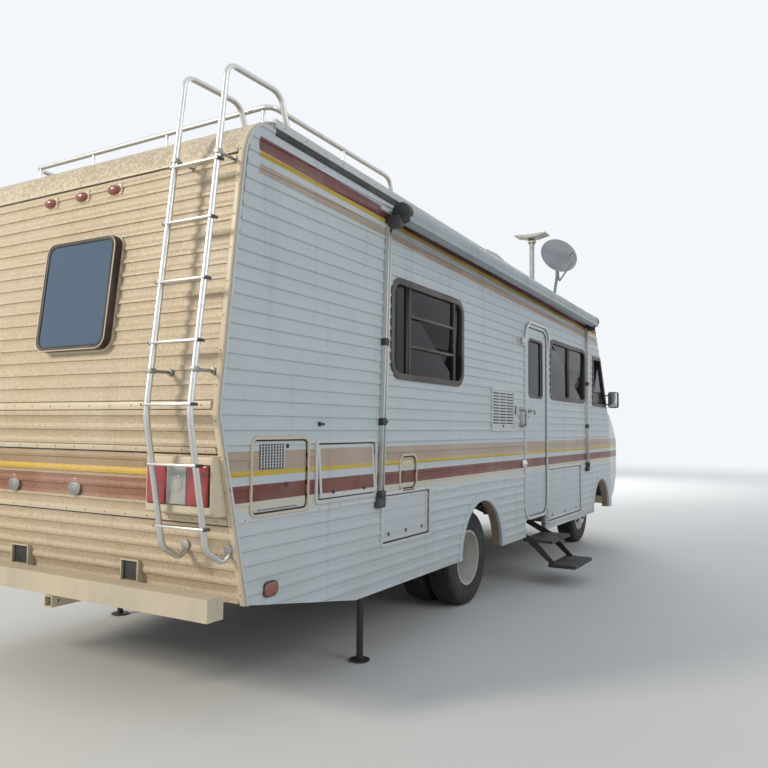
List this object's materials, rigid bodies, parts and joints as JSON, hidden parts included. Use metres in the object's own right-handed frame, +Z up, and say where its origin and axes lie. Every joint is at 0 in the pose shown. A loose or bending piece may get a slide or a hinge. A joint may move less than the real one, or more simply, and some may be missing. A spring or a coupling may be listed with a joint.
{
  "type": "motorhome",
  "caption": "Integrated motorhome with ribbed sides, bulged rear wall, ladder, roof air conditioner, awning, opening doors and hatches, steered front wheels and twin rear wheels.",
  "frame": {"origin": "on level ground under the middle of the whole length, on the vehicle's centre line", "axes": "+X forward, +Y to the vehicle's left, +Z up"},
  "size_m": [8.4712, 3.09, 4.0048],
  "materials": {
    "skin_white": "satin",
    "cream": "gloss",
    "roof_white": "matt",
    "door_white": "satin",
    "tan_grille": "satin",
    "window_bronze": "anodised",
    "glass_tinted": "tinted",
    "lamp_red": "gloss",
    "bright_metal": "brushed",
    "steel_black": "satin",
    "steel_grey": "satin",
    "wheel_white": "gloss",
    "tyre": "matt",
    "awning_fabric": "matt",
    "box_liner": "matt",
    "tank_grey": "matt",
    "engine_grey": "rough",
    "cab_trim": "matt",
    "roof_plastic": "matt",
    "dish_grey": "matt",
    "mirror_head": "satin",
    "floor_grey": "matt"
  },
  "bodies": {
    "root": {"side_wall_right": "skin_white", "side_wall_left": "skin_white", "rear_wall": "cream", "roof_panel": "roof_white", "front_cap": "cream", "floor_pan": "floor_grey", "storage_boxes": "box_liner", "chassis_frame": "steel_black", "axles": "steel_black", "window_frames": "window_bronze", "window_glass": "glass_tinted", "grille": "tan_grille", "lamps": "lamp_red", "bumpers": "steel_grey", "ladder": "bright_metal", "roof_rails": "bright_metal", "air_conditioner": "roof_plastic", "satellite_dish": "dish_grey", "awning": "awning_fabric", "entry_step": "steel_black", "mirrors": "mirror_head", "cab_fittings": "cab_trim", "drive_line": "engine_grey", "tanks": "tank_grey"},
    "rear_wheels_right": {"rear_rims_right": "wheel_white", "rear_tyres_right": "tyre"},
    "rear_wheels_left": {"rear_rims_left": "wheel_white", "rear_tyres_left": "tyre"},
    "knuckle_right": {"knuckle_right": "steel_grey"},
    "knuckle_left": {"knuckle_left": "steel_grey"},
    "front_wheel_right": {"front_rim_right": "wheel_white", "front_tyre_right": "tyre"},
    "front_wheel_left": {"front_rim_left": "wheel_white", "front_tyre_left": "tyre"},
    "entrance_door": {"entrance_door": "door_white", "door_glass": "glass_tinted"},
    "appliance_door": {"appliance_door": "skin_white"},
    "rear_hatch": {"rear_hatch": "skin_white"},
    "lower_storage_door": {"lower_storage_door": "skin_white"},
    "filler_door": {"filler_door": "skin_white"},
    "front_storage_door": {"front_storage_door": "skin_white"},
    "left_storage_door": {"left_storage_door": "skin_white"},
    "antenna_mast": {"antenna_mast": "bright_metal"},
    "antenna_wing": {"antenna_wing": "roof_plastic"},
    "roof_vent_lid": {"roof_vent_lid": "roof_plastic"}
  },
  "joints": [
    {"name": "rear_wheels_right_spin", "type": "hinge", "parent": "root", "child": "rear_wheels_right", "pos_m": [-0.82, -0.8555, 0.392], "axis": [0, 1, 0], "continuous": true},
    {"name": "steer_right", "type": "hinge", "parent": "root", "child": "knuckle_right", "pos_m": [3.206, -0.66, 0.392], "axis": [0, 0, 1], "range_deg": [-30, 30]},
    {"name": "front_wheel_right_spin", "type": "hinge", "parent": "knuckle_right", "child": "front_wheel_right", "pos_m": [3.206, -0.833, 0.392], "axis": [0, 1, 0], "continuous": true},
    {"name": "rear_wheels_left_spin", "type": "hinge", "parent": "root", "child": "rear_wheels_left", "pos_m": [-0.82, 0.8555, 0.392], "axis": [0, 1, 0], "continuous": true},
    {"name": "steer_left", "type": "hinge", "parent": "root", "child": "knuckle_left", "pos_m": [3.206, 0.66, 0.392], "axis": [0, 0, 1], "range_deg": [-30, 30]},
    {"name": "front_wheel_left_spin", "type": "hinge", "parent": "knuckle_left", "child": "front_wheel_left", "pos_m": [3.206, 0.833, 0.392], "axis": [0, 1, 0], "continuous": true},
    {"name": "entrance_door_hinge", "type": "hinge", "parent": "root", "child": "entrance_door", "pos_m": [0.886, -1.226, 1.562], "axis": [0, 0, 1], "range_deg": [0, 90]},
    {"name": "appliance_door_hinge", "type": "hinge", "parent": "root", "child": "appliance_door", "pos_m": [-3.367, -1.226, 1.2325], "axis": [0, 0, 1], "range_deg": [0, 90]},
    {"name": "filler_door_hinge", "type": "hinge", "parent": "root", "child": "filler_door", "pos_m": [-2.072, -1.226, 1.182], "axis": [0, 0, 1], "range_deg": [0, 90]},
    {"name": "rear_hatch_hinge", "type": "hinge", "parent": "root", "child": "rear_hatch", "pos_m": [-2.9505, -1.226, 1.391], "axis": [-1, 0, 0], "range_deg": [-4, 86]},
    {"name": "lower_storage_door_hinge", "type": "hinge", "parent": "root", "child": "lower_storage_door", "pos_m": [-2.1965, -1.226, 1.041], "axis": [-1, 0, 0], "range_deg": [0, 90]},
    {"name": "front_storage_door_hinge", "type": "hinge", "parent": "root", "child": "front_storage_door", "pos_m": [1.566, -1.226, 1.058], "axis": [-1, 0, 0], "range_deg": [0, 90]},
    {"name": "left_storage_door_hinge", "type": "hinge", "parent": "root", "child": "left_storage_door", "pos_m": [1.566, 1.226, 1.058], "axis": [1, 0, 0], "range_deg": [0, 90]},
    {"name": "antenna_fold", "type": "hinge", "parent": "root", "child": "antenna_mast", "pos_m": [2.29, -0.6, 3.00874], "axis": [0, -1, 0], "range_deg": [0, 88]},
    {"name": "antenna_level", "type": "hinge", "parent": "antenna_mast", "child": "antenna_wing", "pos_m": [2.29, -0.6, 3.85874], "axis": [0, -1, 0], "range_deg": [-88, 0]},
    {"name": "roof_vent_lid_hinge", "type": "hinge", "parent": "root", "child": "roof_vent_lid", "pos_m": [-3.064, -0.54, 3.11989], "axis": [0, 1, 0], "range_deg": [0, 70]}
  ],
  "couplings": [
    {"joint": "steer_left", "follows": "steer_right", "ratio": 1},
    {"joint": "antenna_level", "follows": "antenna_fold", "ratio": -1}
  ]
}
